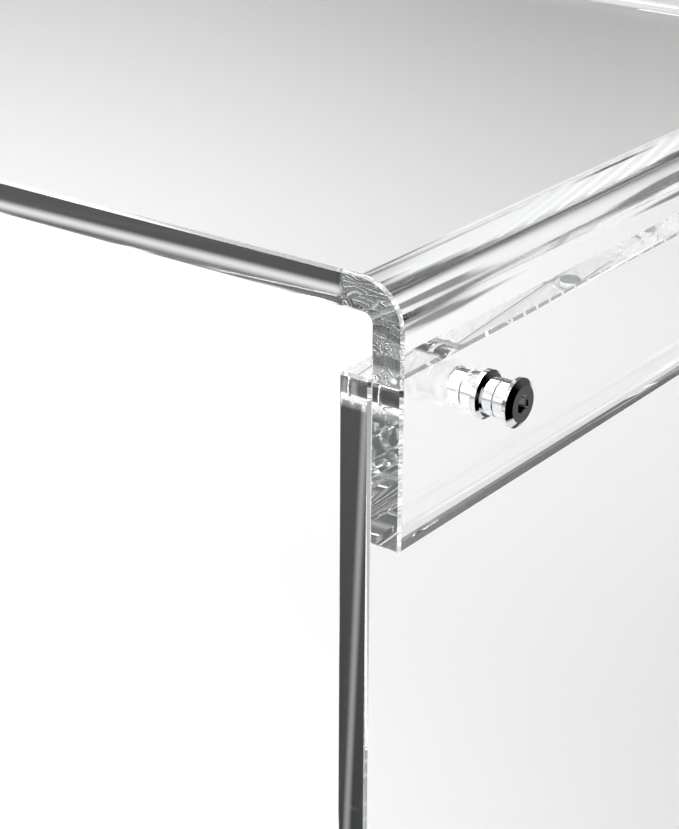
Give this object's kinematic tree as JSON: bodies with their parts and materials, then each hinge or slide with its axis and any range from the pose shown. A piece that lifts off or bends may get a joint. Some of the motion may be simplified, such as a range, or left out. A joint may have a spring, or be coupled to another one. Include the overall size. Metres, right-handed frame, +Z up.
{
  "type": "desktop riser",
  "caption": "Clear acrylic desktop riser: a thick sheet bent down at each side into a lip, on flat side panels, held by chrome hex-socket fixings.",
  "frame": {"origin": "on the desk, under the middle of the riser", "axes": "+X to the right along the longest extent, +Y to the back, +Z up"},
  "size_m": [0.6256, 0.315, 0.3],
  "materials": {
    "clear_acrylic": "clear, polished faces and flame-polished edges",
    "chrome": "bright chrome plate on turned brass",
    "clear_washer": "thin clear polyethylene",
    "clear_rubber": "clear soft silicone, slightly frosted"
  },
  "bodies": {
    "riser": {"top_panel": "clear_acrylic", "right_side_panel": "clear_acrylic", "left_side_panel": "clear_acrylic", "front_right_washer": "clear_washer", "front_right_foot": "clear_rubber", "front_left_washer": "clear_washer", "front_left_foot": "clear_rubber", "rear_right_washer": "clear_washer", "rear_right_foot": "clear_rubber", "rear_left_washer": "clear_washer", "rear_left_foot": "clear_rubber"},
    "front_right_fixing": {"front_right_stud": "chrome", "front_right_cap": "chrome"},
    "front_left_fixing": {"front_left_stud": "chrome", "front_left_cap": "chrome"},
    "rear_right_fixing": {"rear_right_stud": "chrome", "rear_right_cap": "chrome"},
    "rear_left_fixing": {"rear_left_stud": "chrome", "rear_left_cap": "chrome"}
  },
  "joints": [
    {"name": "front_right_fixing_turn", "type": "hinge", "parent": "riser", "child": "front_right_fixing", "pos_m": [0.3, -0.12, 0.2586], "axis": [1, 0, 0], "continuous": true},
    {"name": "front_left_fixing_turn", "type": "hinge", "parent": "riser", "child": "front_left_fixing", "pos_m": [-0.3, -0.12, 0.2586], "axis": [-1, 0, 0], "continuous": true},
    {"name": "rear_right_fixing_turn", "type": "hinge", "parent": "riser", "child": "rear_right_fixing", "pos_m": [0.3, 0.12, 0.2586], "axis": [1, 0, 0], "continuous": true},
    {"name": "rear_left_fixing_turn", "type": "hinge", "parent": "riser", "child": "rear_left_fixing", "pos_m": [-0.3, 0.12, 0.2586], "axis": [-1, 0, 0], "continuous": true}
  ]
}
